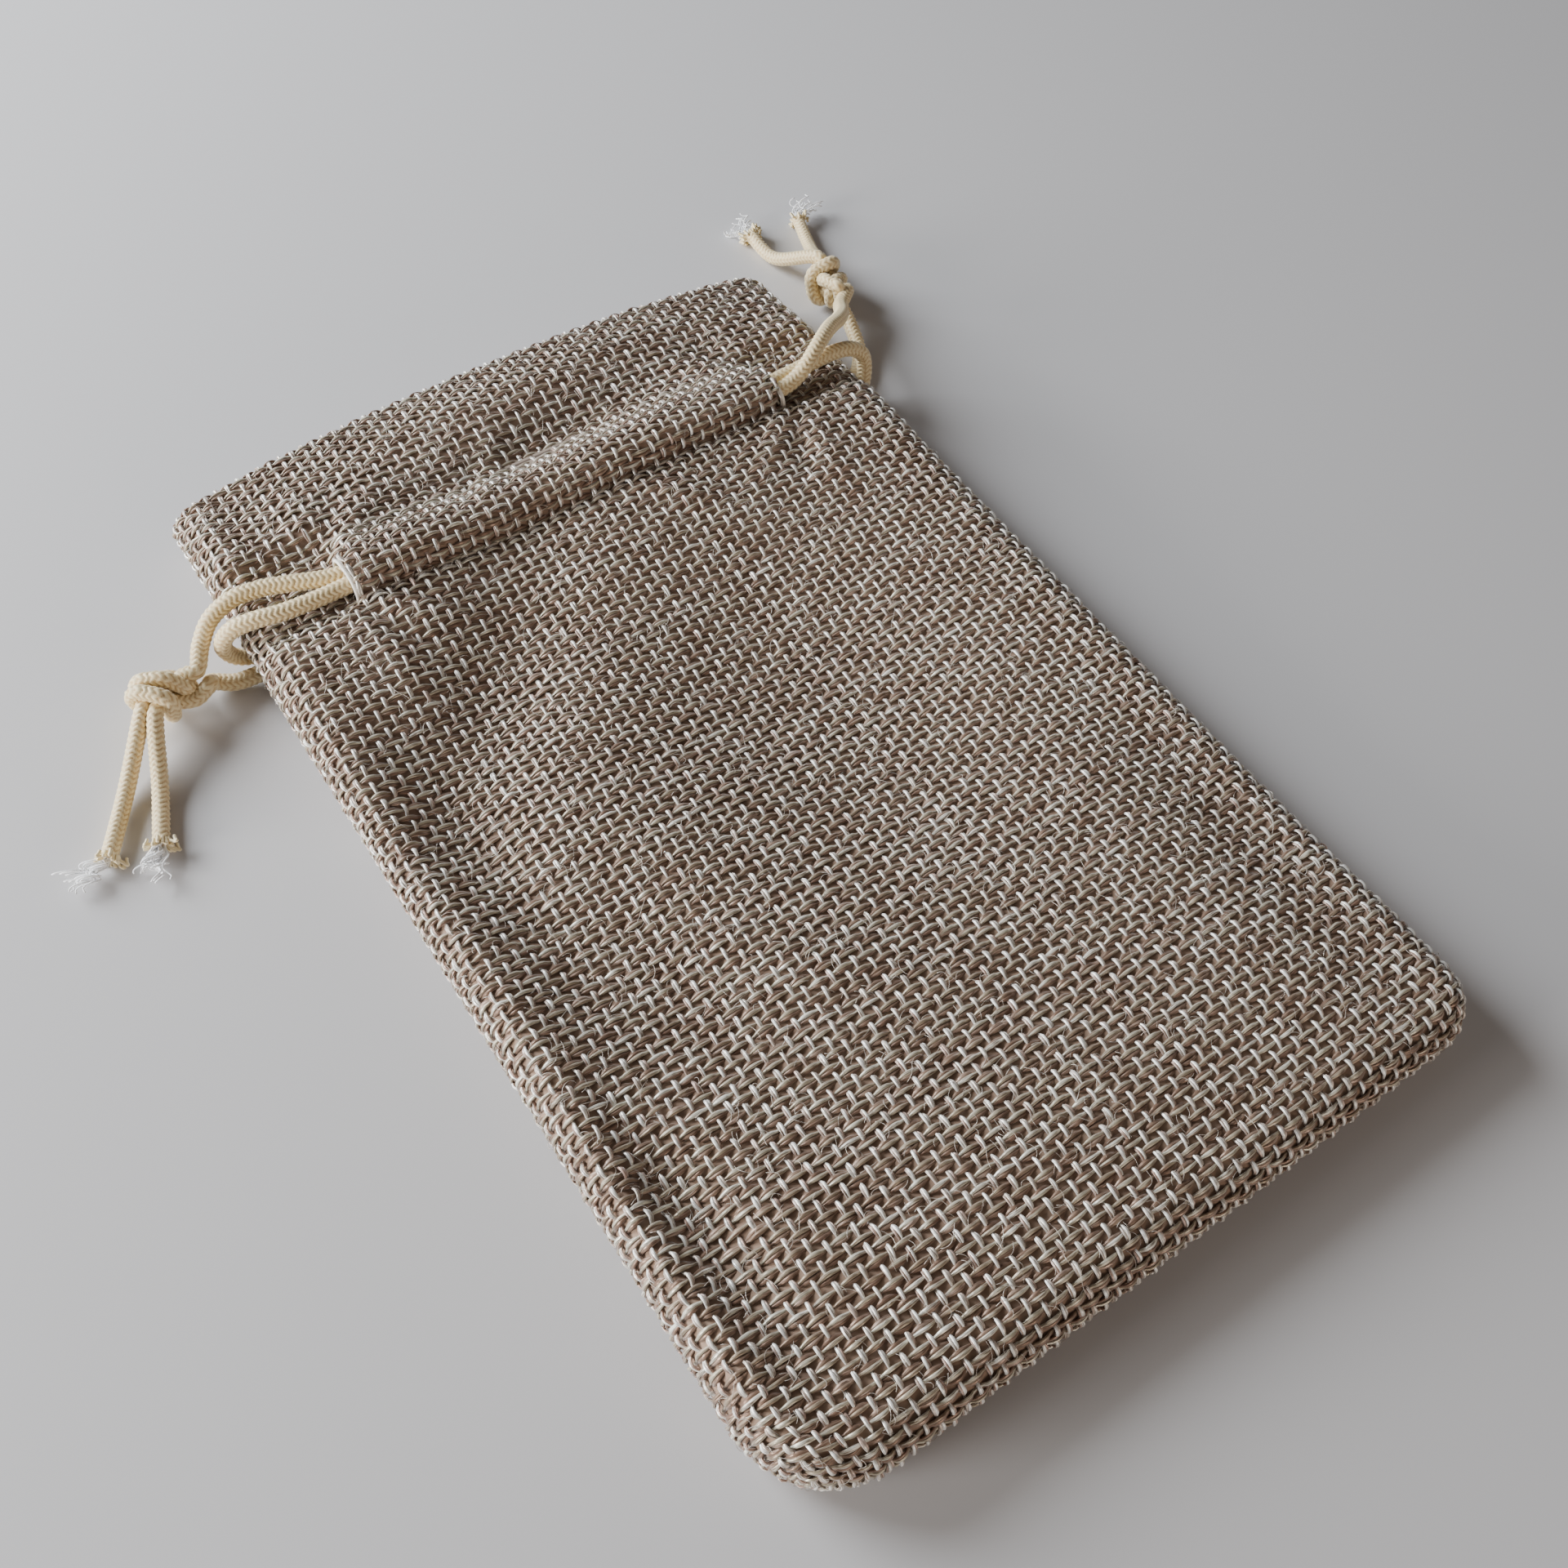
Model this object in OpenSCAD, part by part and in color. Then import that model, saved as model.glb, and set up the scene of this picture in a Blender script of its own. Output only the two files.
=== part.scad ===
// Drawstring gift pouch of coarse plain-weave cloth, lying on its back with its mouth towards +Y.
// X runs across the side seams, Z is up from the surface that the back lies on.

/* [Pouch] */
// Width across the side seams
pouch_w = 98; // [90:1:110]
// Length from the bottom seam to the mouth
pouch_l = 152; // [146:1:160]
// Thickness of one layer of the woven cloth
cloth_t = 0.7; // [0.5:0.05:0.7]
// Radius of the two bottom corners, seen from above
corner_r = 8; // [5:0.5:12]
// Radius of the body's soft side edges
edge_r = 3.5; // [2.5:0.25:4]

/* [Casing] */
// Distance from the mouth to the middle of the casing
heading_l = 26; // [24:1:28]
// Thickness of the turned-in hem that lines the casing
hem_t = 0.5; // [0.3:0.05:0.5]
// Clear height between the two linings at the neck
neck_gap = 4.3; // [4.3:0.1:5]
// Half of the casing's length, up to the slits where the cords come out
slit_x = 33.3; // [30:0.1:34]

/* [Drawstrings] */
// Diameter of the two cords
cord_d = 2.4; // [1.8:0.1:2.4]
// Free space around a cord inside its casing
cord_play = 0.2; // [0.2:0.05:0.4]
// Diameter of the overhand knot at each side
knot_d = 8.4; // [7:0.1:9]
// Length of the frayed part at the end of a tail
fray_l = 5; // [3:0.5:7]

/* [Sewing] */
// Length of one stitch
stitch_l = 2.4; // [1.5:0.1:3]
// Distance between the starts of two stitches
stitch_pitch = 3.4; // [3:0.1:5]
// Thickness of the sewing thread
thread_d = 0.3; // [0.2:0.05:0.4]
// Width of the seam allowances inside
allowance_w = 6; // [4:0.5:6]

/* [Hidden] */

// Colours of the cloth, the cords and the thread
cloth_colour = "#9c8873";
lining_colour = "#8a7866";
cord_colour = "#eadcb8";
thread_colour = "#d8ccb4";

// Heights of the layers at the neck, from the back casing up to the front one
channel_h = cord_d + 2 * cord_play;
back_lining_z = cloth_t + channel_h;
neck_low = back_lining_z + hem_t;
neck_high = neck_low + neck_gap;
front_cloth_z = neck_high + hem_t;
body_h = front_cloth_z + cloth_t;
front_top_z = front_cloth_z + channel_h + cloth_t;

// How far inner layers end before an edge, and how far the stitches run from
// the ridge of the casing
setback = 0.5;
row_offset = 0.7;

// Height at which the front and back panels meet in the side seams, and the
// clearance between the two halves of the mouth
seam_z = 4.6;
part_gap = 0.3;

// Places along Y, with how far the shoulders and the hem reach past the casing
clear = 0.1;
shoulder_reach = 8.2;
hem_reach = 1.9;
mouth_y = pouch_l / 2;
casing_y = mouth_y - heading_l;
cord_gap = 0.3;
channel_w = 2 * cord_d + 3 * cord_gap + clear;
casing_w = channel_w + 2 * cloth_t;
casing_low_y = casing_y - casing_w / 2;
casing_high_y = casing_y + casing_w / 2;
shoulder_end_y = casing_y + shoulder_reach;
hinge_y = shoulder_end_y + part_gap;
lining_low_y = casing_low_y - hem_reach;

// The shoulders beside the casing, where the cords press the cloth together
shoulder_low = 3.6;
shoulder_high = front_cloth_z - clear;

// Knots
left_knot_at = [-60.5, 50, knot_d / 2];
right_knot_at = [58.8, 71.5, knot_d / 2];

// Route of the left drawstring: from its knot over the left edge, through the
// front casing, round the right edge and back through the back casing
left_route = [
    [-59.5, 50.4, 4.6], [-57.4, 51.6, 5.8], [-55.2, 53.4, 7.6], [-51.5, 54.9, 9.4],
    [-47.5, 55.2, 10.1], [-43.5, 54.8, 10.2], [-39.5, 53.4, 10.2], [-36, 51.9, 10.2],
    [-33, 51.35, 10.2], [-22, 51.35, 10.2], [-11, 51.35, 10.2], [0, 51.35, 10.2],
    [11, 51.35, 10.2], [22, 51.35, 10.2], [33, 51.35, 10.2], [40, 51.35, 10.2],
    [46, 51.35, 10.3], [50, 51.1, 10], [52.8, 50.8, 8.2], [53.2, 50.2, 5.5],
    [52.2, 49.4, 3], [49, 48.8, 2.1], [44, 48.65, 2.1], [33, 48.65, 2.1],
    [22, 48.65, 2.1], [0, 48.65, 2.1], [-22, 48.65, 2.1], [-33, 48.65, 2.1],
    [-44, 48.65, 2.1], [-48.5, 48.9, 1.7], [-52.5, 49.4, 1.4], [-55.3, 50.8, 1.8],
    [-57.6, 51.2, 3.1], [-59.5, 51.2, 4]
];

// Route of the right drawstring, from its knot over the left one's bight and
// through the casings the other way round
right_route = [
    [58.6, 70.5, 4.6], [57.8, 67.2, 5], [56, 63.4, 6.2], [53.6, 60, 8],
    [50.6, 57, 10.2], [47, 54.4, 12.2], [44, 52.2, 13.1], [41.5, 50.4, 13],
    [39, 49.1, 12.1], [36.5, 48.65, 10.8], [33, 48.65, 10.2], [22, 48.65, 10.2],
    [11, 48.65, 10.2], [0, 48.65, 10.2], [-11, 48.65, 10.2], [-22, 48.65, 10.2],
    [-33, 48.65, 10.2], [-38, 48.65, 10.2], [-43, 49.1, 10.2], [-47, 49.9, 10.4],
    [-50.6, 50.8, 9.7], [-52.8, 51.4, 7.6], [-52.9, 51.9, 4.9], [-51.4, 52, 2.8],
    [-48, 51.6, 2.1], [-45, 51.35, 2.1], [-33, 51.35, 2.1], [-22, 51.35, 2.1],
    [0, 51.35, 2.1], [22, 51.35, 2.1], [33, 51.35, 2.1], [44, 51.35, 2.1],
    [48.5, 51.8, 1.8], [52.5, 53.6, 1.5], [55.4, 57, 1.6], [57.2, 61.5, 2.2],
    [58.3, 66, 3.2], [58.9, 69.5, 4]
];

// Routes of the four tails, from the knots to their frayed ends
left_outer_route = [[-65.2, 47.5, 2.4], [-69.6, 41, 1.4], [-75, 33, 1.3]];
left_inner_route = [[-62.6, 45.4, 2.4], [-66, 39, 1.4], [-69, 31.5, 1.3]];
right_outer_route = [[61, 76.3, 2.4], [63.6, 82.5, 1.4], [66, 89, 1.3]];
right_inner_route = [[57, 76.5, 2.4], [56.8, 83, 1.4], [57, 90, 1.3]];

// Room cut past a face, so that no two faces of a cut coincide
past = 1;
big = 400;

// Points of an arc, from angle a0 to a1
function arc(centre, r, a0, a1, steps) =
    [for (i = [0:steps]) centre + r * [cos(a0 + (a1 - a0) * i / steps), sin(a0 + (a1 - a0) * i / steps)]];

// A rectangle with four round corners, as a list of points
function soft_box(x0, x1, y0, y1, r) = concat(
    arc([x1 - r, y0 + r], r, -90, 0, 4),
    arc([x1 - r, y1 - r], r, 0, 90, 4),
    arc([x0 + r, y1 - r], r, 90, 180, 4),
    arc([x0 + r, y0 + r], r, 180, 270, 4)
);

function unit(v) = v / norm(v);

// Direction of a route at its point i
function heading_at(route, i) =
    unit(route[min(i + 1, len(route) - 1)] - route[max(i - 1, 0)]);

// Side vector at each point, carried along the route without twisting
function across(v, t) = unit(v - (v * t) * t);
function sides(route, i = 0, last = [0.3, 0.2, 1]) =
    i == len(route) ? [] :
    let (s = across(last, heading_at(route, i))) concat([s], sides(route, i + 1, s));

// Draws across X what is described in Y and Z
module along_x(x0, x1) {
    translate([x0, 0, 0])
        rotate([90, 0, 90])
            linear_extrude(x1 - x0)
                children();
}

// A flat bag shape with soft edges and a square end at y1
module slab(w, y0, y1, z0, z1, r, cr) {
    intersection() {
        translate([0, y1, 0])
            rotate([90, 0, 0])
                linear_extrude(y1 - y0)
                    polygon(soft_box(-w / 2, w / 2, z0, z1, r));
        along_x(-w / 2, w / 2)
            polygon(soft_box(y0, y1 + 2 * r, z0, z1, r));
        linear_extrude(z1)
            polygon(soft_box(-w / 2, w / 2, y0, y1 + 2 * cr, cr));
    }
}

// The cloth part of the bag beside the casing, pinched between the cords
module shoulders(w, y0, y1, z0, z1) {
    translate([0, y1, 0])
        rotate([90, 0, 0])
            linear_extrude(y1 - y0)
                polygon(soft_box(-w / 2, w / 2, z0, z1, (z1 - z0) / 2 - clear / 2));
}

// The whole cloth tube from the bottom seam to the end of the shoulders
module body_shell() {
    difference() {
        union() {
            slab(pouch_w, -mouth_y, casing_low_y, 0, body_h, edge_r, corner_r);
            shoulders(pouch_w, casing_low_y - cloth_t, shoulder_end_y, shoulder_low, shoulder_high);
        }
        slab(
            pouch_w - 2 * cloth_t, cloth_t - mouth_y, casing_low_y - cloth_t,
            cloth_t, body_h - cloth_t, edge_r - cloth_t, corner_r - cloth_t
        );
        shoulders(
            pouch_w - 2 * cloth_t, casing_low_y - 2 * cloth_t, shoulder_end_y + past,
            shoulder_low + cloth_t, shoulder_high - cloth_t
        );
        translate([-slit_x, casing_low_y - cloth_t - clear, cloth_t])
            cube([2 * slit_x, cloth_t + 2 * clear, front_cloth_z - cloth_t]);
        translate([-slit_x, casing_low_y, -past])
            cube([2 * slit_x, heading_l, big]);
    }
}

// The cloth tube from the shoulders to the mouth
module heading_shell(y0) {
    difference() {
        slab(pouch_w, -mouth_y, mouth_y, 0, body_h, edge_r, corner_r);
        slab(
            pouch_w - 2 * cloth_t, cloth_t - mouth_y, mouth_y + past,
            cloth_t, body_h - cloth_t, edge_r - cloth_t, corner_r
        );
        translate([-big / 2, y0 - big, -past])
            cube([big, big, big]);
    }
}

// Keeps what is above or below the seam
module above(z) {
    intersection() {
        children();
        translate([-big / 2, -big / 2, z])
            cube([big, big, big]);
    }
}

module below(z) {
    intersection() {
        children();
        translate([-big / 2, -big / 2, z - big])
            cube([big, big, big]);
    }
}

// The channel's cross-section in Y and Z, as the front wears it: a ridge over
// the two cords and a flat strip up to the hinge of the mouth
module ridge_profile() {
    ridge_r = 2.1;
    hollow_r = 1.4;
    difference() {
        union() {
            intersection() {
                polygon(soft_box(
                    casing_low_y, casing_high_y,
                    front_cloth_z - 2 * ridge_r, front_top_z, ridge_r
                ));
                translate([casing_low_y, front_cloth_z])
                    square([casing_w, front_top_z]);
            }
            translate([casing_high_y - cloth_t, front_cloth_z])
                square([shoulder_end_y - casing_high_y + cloth_t, cloth_t]);
        }
        polygon(soft_box(
            casing_low_y + cloth_t, casing_high_y - cloth_t,
            front_cloth_z - 2 * hollow_r, front_top_z - cloth_t, hollow_r
        ));
    }
}

// A straight row of stitches along X, its thread flat on the cloth
module stitch_row(x0, x1, y, z) {
    for (x = [x0 : stitch_pitch : x1 - stitch_l])
        translate([x, y - thread_d / 2, z])
            cube([stitch_l, thread_d, thread_d]);
}

// A straight row of stitches along Y
module stitch_column(x, y0, y1, z) {
    for (y = [y0 : stitch_pitch : y1 - stitch_l])
        translate([x - thread_d / 2, y, z])
            cube([thread_d, stitch_l, thread_d]);
}

// A cord: one closed tube of eight sides, with a ring at each point of its route
module cord(route, d) {
    ring_n = 8;
    last = len(route) - 1;
    side = sides(route);
    points = [
        for (i = [0:last], k = [0:ring_n - 1])
            let (s = side[i], b = cross(heading_at(route, i), s), a = 360 * k / ring_n)
                route[i] + d / 2 * (cos(a) * s + sin(a) * b)
    ];
    walls = [
        for (i = [0:last - 1], k = [0:ring_n - 1], half = [0, 1])
            let (
                p = i * ring_n + k,
                q = i * ring_n + (k + 1) % ring_n
            )
                half == 0 ? [p, p + ring_n, q] : [q, p + ring_n, q + ring_n]
    ];
    first_cap = [for (k = [0:ring_n - 1]) k];
    last_cap = [for (k = [ring_n - 1:-1:0]) last * ring_n + k];
    polyhedron(points, concat(walls, [first_cap, last_cap]));
}

// A short round stub that carries a cord on past its last point
module fray(route) {
    end = route[len(route) - 1];
    run = end - route[len(route) - 2];
    translate([end.x, end.y, cord_d / 2 + clear])
        rotate([0, 90, atan2(run.y, run.x)])
            cylinder(d = cord_d, h = fray_l, $fn = 32);
}

module back_panel() {
    color(cloth_colour) below(seam_z) body_shell();
}

module front_panel() {
    color(cloth_colour) above(seam_z) body_shell();
}

module front_casing() {
    color(cloth_colour)
        along_x(-slit_x, slit_x)
            ridge_profile();
}

// The back casing hangs below its lining as the front one stands on its own,
// and comes down to the back heading at its far end
module back_casing() {
    color(cloth_colour)
        along_x(-slit_x, slit_x)
            union() {
                translate([0, front_top_z])
                    mirror([0, 1])
                        ridge_profile();
                translate([shoulder_end_y - cloth_t, 0])
                    square([cloth_t, back_lining_z - cloth_t / 2]);
            }
}

module casing_lining(z) {
    color(lining_colour)
        translate([-slit_x, lining_low_y, z])
            cube([2 * slit_x, shoulder_end_y - lining_low_y, hem_t]);
}

module back_casing_lining() {
    casing_lining(back_lining_z);
}

module front_casing_lining() {
    casing_lining(neck_high);
}

module back_heading() {
    color(cloth_colour) below(seam_z - part_gap / 2) heading_shell(shoulder_end_y);
}

module front_heading() {
    color(cloth_colour) above(seam_z + part_gap / 2) heading_shell(hinge_y);
}

// The hem that is turned in at the mouth
module facing(y0, z) {
    facing_w = pouch_w - 2 * edge_r;
    color(lining_colour)
        translate([-facing_w / 2, y0, z])
            cube([facing_w, mouth_y - setback - y0, hem_t]);
}

module back_facing() {
    facing(shoulder_end_y, cloth_t);
}

module front_facing() {
    facing(hinge_y, neck_high);
}

// Two layers of cloth inside a seam, level with the seam
module side_allowance(side) {
    outer_x = pouch_w / 2 - cloth_t;
    color(lining_colour)
        translate([side < 0 ? -outer_x : outer_x - allowance_w, corner_r - mouth_y, seam_z - cloth_t])
            cube([allowance_w, lining_low_y - corner_r + mouth_y - setback, 2 * cloth_t]);
}

module side_stitches(side) {
    color(thread_colour)
        stitch_column(
            side * (pouch_w / 2 - 2 * cloth_t), corner_r - mouth_y + 1,
            lining_low_y - 1, seam_z + cloth_t
        );
}

module left_seam_allowance() {
    side_allowance(-1);
}

module right_seam_allowance() {
    side_allowance(1);
}

module bottom_seam_allowance() {
    reach = pouch_w / 2 - corner_r - allowance_w / 2;
    color(lining_colour)
        translate([-reach, cloth_t - mouth_y, seam_z - cloth_t])
            cube([2 * reach, allowance_w, 2 * cloth_t]);
}

module left_seam_stitches() {
    side_stitches(-1);
}

module right_seam_stitches() {
    side_stitches(1);
}

module bottom_seam_stitches() {
    reach = pouch_w / 2 - corner_r - allowance_w / 2;
    color(thread_colour)
        stitch_row(-reach + setback, reach, 2 * cloth_t - mouth_y, seam_z + cloth_t);
}

// Two rows along the front casing, one below the ridge and one above it
module front_casing_stitches() {
    color(thread_colour) {
        stitch_row(-slit_x, slit_x, casing_low_y - row_offset, body_h);
        stitch_row(-slit_x, slit_x, casing_high_y + row_offset, body_h);
    }
}

// The row above the back casing, under its flat strip
module back_casing_stitches() {
    color(thread_colour)
        stitch_row(-slit_x, slit_x, casing_high_y + row_offset, back_lining_z - cloth_t - thread_d);
}

// A loop of thread over the two cords, that keeps the end of the casing from tearing
module exit_tack(x0) {
    tack_t = 0.4;
    tack_r = 2;
    color(thread_colour)
        along_x(x0, x0 + 2 * thread_d)
            difference() {
                intersection() {
                    polygon(soft_box(
                        casing_low_y, casing_high_y,
                        shoulder_high - 2 * tack_r, front_top_z, tack_r
                    ));
                    translate([casing_low_y, shoulder_high])
                        square([casing_w, front_top_z]);
                }
                polygon(soft_box(
                    casing_low_y + tack_t, casing_high_y - tack_t,
                    shoulder_high - 2 * tack_r, front_top_z - tack_t, tack_r - tack_t
                ));
            }
}

module left_exit_tack() {
    exit_tack(-slit_x - 2 * thread_d);
}

module right_exit_tack() {
    exit_tack(slit_x);
}

module knot(at) {
    color(cord_colour)
        translate(at)
            sphere(d = knot_d, $fn = 48);
}

module left_drawstring() {
    color(cord_colour) cord(left_route, cord_d);
}

module left_knot() {
    knot(left_knot_at);
}

module left_outer_tail() {
    color(cord_colour) cord(left_outer_route, cord_d);
}

module left_inner_tail() {
    color(cord_colour) cord(left_inner_route, cord_d);
}

module left_outer_fray() {
    color(thread_colour) fray(left_outer_route);
}

module left_inner_fray() {
    color(thread_colour) fray(left_inner_route);
}

module right_drawstring() {
    color(cord_colour) cord(right_route, cord_d);
}

module right_knot() {
    knot(right_knot_at);
}

module right_outer_tail() {
    color(cord_colour) cord(right_outer_route, cord_d);
}

module right_inner_tail() {
    color(cord_colour) cord(right_inner_route, cord_d);
}

module right_outer_fray() {
    color(thread_colour) fray(right_outer_route);
}

module right_inner_fray() {
    color(thread_colour) fray(right_inner_route);
}

back_panel();
front_panel();
back_casing();
front_casing();
back_casing_lining();
front_casing_lining();
back_heading();
back_facing();
front_heading();
front_facing();
left_seam_allowance();
right_seam_allowance();
bottom_seam_allowance();
left_seam_stitches();
right_seam_stitches();
bottom_seam_stitches();
front_casing_stitches();
back_casing_stitches();
left_exit_tack();
right_exit_tack();
left_drawstring();
left_knot();
left_outer_tail();
left_inner_tail();
left_outer_fray();
left_inner_fray();
right_drawstring();
right_knot();
right_outer_tail();
right_inner_tail();
right_outer_fray();
right_inner_fray();
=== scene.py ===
import math

import bpy
import numpy as np
from mathutils import Matrix, Vector


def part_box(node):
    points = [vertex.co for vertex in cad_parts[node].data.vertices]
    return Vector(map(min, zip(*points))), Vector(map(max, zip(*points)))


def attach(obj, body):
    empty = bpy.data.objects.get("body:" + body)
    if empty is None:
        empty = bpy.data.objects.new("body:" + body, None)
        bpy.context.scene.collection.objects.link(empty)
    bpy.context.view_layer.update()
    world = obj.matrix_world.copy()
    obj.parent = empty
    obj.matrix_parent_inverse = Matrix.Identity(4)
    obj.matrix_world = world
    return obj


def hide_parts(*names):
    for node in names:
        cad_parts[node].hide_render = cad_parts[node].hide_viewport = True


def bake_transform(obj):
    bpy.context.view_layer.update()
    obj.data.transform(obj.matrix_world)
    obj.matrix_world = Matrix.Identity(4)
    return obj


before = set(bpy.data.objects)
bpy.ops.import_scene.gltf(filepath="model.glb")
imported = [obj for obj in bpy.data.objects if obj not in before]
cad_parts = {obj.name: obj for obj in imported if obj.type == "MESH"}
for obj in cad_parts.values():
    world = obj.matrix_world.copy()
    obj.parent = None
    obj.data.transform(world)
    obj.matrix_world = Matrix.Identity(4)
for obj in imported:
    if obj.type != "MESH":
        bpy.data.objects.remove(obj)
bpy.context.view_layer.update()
rng = np.random.default_rng(11)
MM = 0.001


# ---- Sizes, in millimetres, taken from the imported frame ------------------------


def box_mm(node):
    low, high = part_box(node)
    return np.array(low) / MM, np.array(high) / MM


BACK_LOW, BACK_HIGH = box_mm("back_panel")
HEAD_LOW, HEAD_HIGH = box_mm("front_heading")
CASING_HIGH = box_mm("front_casing")[1]
PANEL_LOW = box_mm("front_panel")[0]
TACK_LOW, TACK_HIGH = box_mm("right_exit_tack")
LEFT_KNOT = sum(box_mm("left_knot")) / 2
RIGHT_KNOT = sum(box_mm("right_knot")) / 2

YARN_RELIEF = 0.52
HALF_W = BACK_HIGH[0] - YARN_RELIEF
BOTTOM_Y = BACK_LOW[1] + YARN_RELIEF
MOUTH_Y = HEAD_HIGH[1]
HINGE_Y = HEAD_LOW[1]
SEAM_Z = PANEL_LOW[2]
FRONT_Z = HEAD_HIGH[2] - 0.45
RIDGE_Z = CASING_HIGH[2] - 0.35
SHOULDER_Z = TACK_LOW[2] - 0.5
BACK_Z = YARN_RELIEF + 0.05
BACK_SHOULDER_Z = 4.0
SLIT_X = CASING_HIGH[0]
CASING_Y = round((TACK_LOW[1] + TACK_HIGH[1]) / 2, 3)
CORD_D = 2.4


# ---- Camera, floor and light -----------------------------------------------------


def add_camera():
    right = Vector((0.82386, -0.56555, 0.03750))
    up = Vector((0.45839, 0.70375, 0.54278))
    back = Vector((-0.33336, -0.42999, 0.83904))
    data = bpy.data.cameras.new("photo_camera")
    data.sensor_width = 36
    data.lens = 34.65
    data.dof.use_dof = False
    camera = bpy.data.objects.new("photo_camera", data)
    turn = Matrix((right, up, back)).transposed().to_4x4()
    camera.matrix_world = Matrix.Translation((-0.06441, -0.08593, 0.16325)) @ turn
    bpy.context.collection.objects.link(camera)
    bpy.context.scene.camera = camera


def add_area(name, place, target, size, power, colour):
    data = bpy.data.lights.new(name, "AREA")
    data.shape = "DISK"
    data.size = size
    data.energy = power
    data.color = colour
    lamp = bpy.data.objects.new(name, data)
    lamp.location = place
    lamp.rotation_euler = (Vector(target) - Vector(place)).to_track_quat("-Z", "Y").to_euler()
    bpy.context.collection.objects.link(lamp)


def add_world(colour, strength):
    world = bpy.data.worlds.new("studio")
    world.use_nodes = True
    background = world.node_tree.nodes["Background"]
    background.inputs["Color"].default_value = (*colour, 1)
    background.inputs["Strength"].default_value = strength
    bpy.context.scene.world = world


def add_floor():
    mesh = bpy.data.meshes.new("floor")
    reach = 3.0
    mesh.from_pydata(
        [(-reach, -reach, 0), (reach, -reach, 0), (reach, reach, 0), (-reach, reach, 0)],
        [],
        [(0, 1, 2, 3)],
    )
    floor = bpy.data.objects.new("floor", mesh)
    bpy.context.collection.objects.link(floor)
    floor.data.materials.append(plain_material("floor_paper", (0.572, 0.556, 0.558), 0.85)[0])


# ---- Materials ---------------------------------------------------------------------


def plain_material(name, colour, roughness):
    material = bpy.data.materials.new(name)
    material.use_nodes = True
    shader = material.node_tree.nodes["Principled BSDF"]
    shader.inputs["Base Color"].default_value = (*colour, 1)
    shader.inputs["Roughness"].default_value = roughness
    shader.inputs["Specular IOR Level"].default_value = 0.3
    return material, shader


def fibre_material(name, roughness, sheen, gloss, stretch, contrast, bump, base):
    """Fine fibres that run along a yarn: the vertices' own colour among fibres of the base colour.
    The colour's alpha is how much of the yarn there has its own colour."""
    material, shader = plain_material(name, base, roughness)
    shader.inputs["Sheen Weight"].default_value = sheen
    shader.inputs["Sheen Roughness"].default_value = 0.4
    shader.inputs["Metallic"].default_value = gloss
    tree = material.node_tree
    melange = tree.nodes.new("ShaderNodeAttribute")
    melange.attribute_name = "melange"
    place = tree.nodes.new("ShaderNodeAttribute")
    place.attribute_name = "fibre"
    scale = tree.nodes.new("ShaderNodeVectorMath")
    scale.operation = "MULTIPLY"
    scale.inputs[1].default_value = stretch
    tree.links.new(place.outputs["Vector"], scale.inputs[0])
    noise = tree.nodes.new("ShaderNodeTexNoise")
    noise.inputs["Scale"].default_value = 1
    noise.inputs["Detail"].default_value = 2
    tree.links.new(scale.outputs[0], noise.inputs["Vector"])
    streak = tree.nodes.new("ShaderNodeMapRange")
    streak.clamp = False
    streak.inputs["From Min"].default_value = 0.35
    streak.inputs["From Max"].default_value = 0.65
    streak.inputs["To Min"].default_value = -contrast
    streak.inputs["To Max"].default_value = contrast
    tree.links.new(noise.outputs[0], streak.inputs["Value"])
    share = tree.nodes.new("ShaderNodeMath")
    share.use_clamp = True
    tree.links.new(streak.outputs[0], share.inputs[0])
    tree.links.new(melange.outputs["Alpha"], share.inputs[1])
    mix = tree.nodes.new("ShaderNodeMix")
    mix.data_type = "RGBA"
    mix.inputs["A"].default_value = (*base, 1)
    tree.links.new(share.outputs[0], mix.inputs["Factor"])
    tree.links.new(melange.outputs["Color"], mix.inputs["B"])
    tree.links.new(mix.outputs["Result"], shader.inputs["Base Color"])
    relief = tree.nodes.new("ShaderNodeBump")
    relief.inputs["Strength"].default_value = bump
    relief.inputs["Distance"].default_value = 0.0001
    tree.links.new(noise.outputs[0], relief.inputs["Height"])
    tree.links.new(relief.outputs[0], shader.inputs["Normal"])
    return material


BROWN = (0.18, 0.107, 0.071)
# Darker, warmer brown of the cord: painted shade in the valleys and grooves between its ribs
CORD_VALLEY_SHADE = (0.50, 0.29, 0.105)
YARN = fibre_material(
    "yarn", roughness=0.33, sheen=0.45, gloss=0.28,
    stretch=(0.7, 8.0, 1.0), contrast=0.6, bump=0.5, base=BROWN,
)
NYLON = fibre_material(
    "nylon_cord", roughness=0.42, sheen=0.3, gloss=0.0,
    stretch=(1.2, 6.0, 1.0), contrast=0.12, bump=0.3, base=CORD_VALLEY_SHADE,
)
CORE = fibre_material(
    "cord_core", roughness=0.5, sheen=0.8, gloss=0.0,
    stretch=(1.0, 4.0, 1.0), contrast=0.05, bump=0.2, base=(0.9, 0.9, 0.92),
)
THREAD = fibre_material(
    "sewing_thread", roughness=0.5, sheen=0.2, gloss=0.0,
    stretch=(5.0, 5.0, 1.0), contrast=0.15, bump=0.4, base=(0.4, 0.3, 0.22),
)
GROUND = plain_material("cloth_ground", (0.33, 0.225, 0.165), 0.9)[0]


# ---- Mesh building -----------------------------------------------------------------


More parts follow.
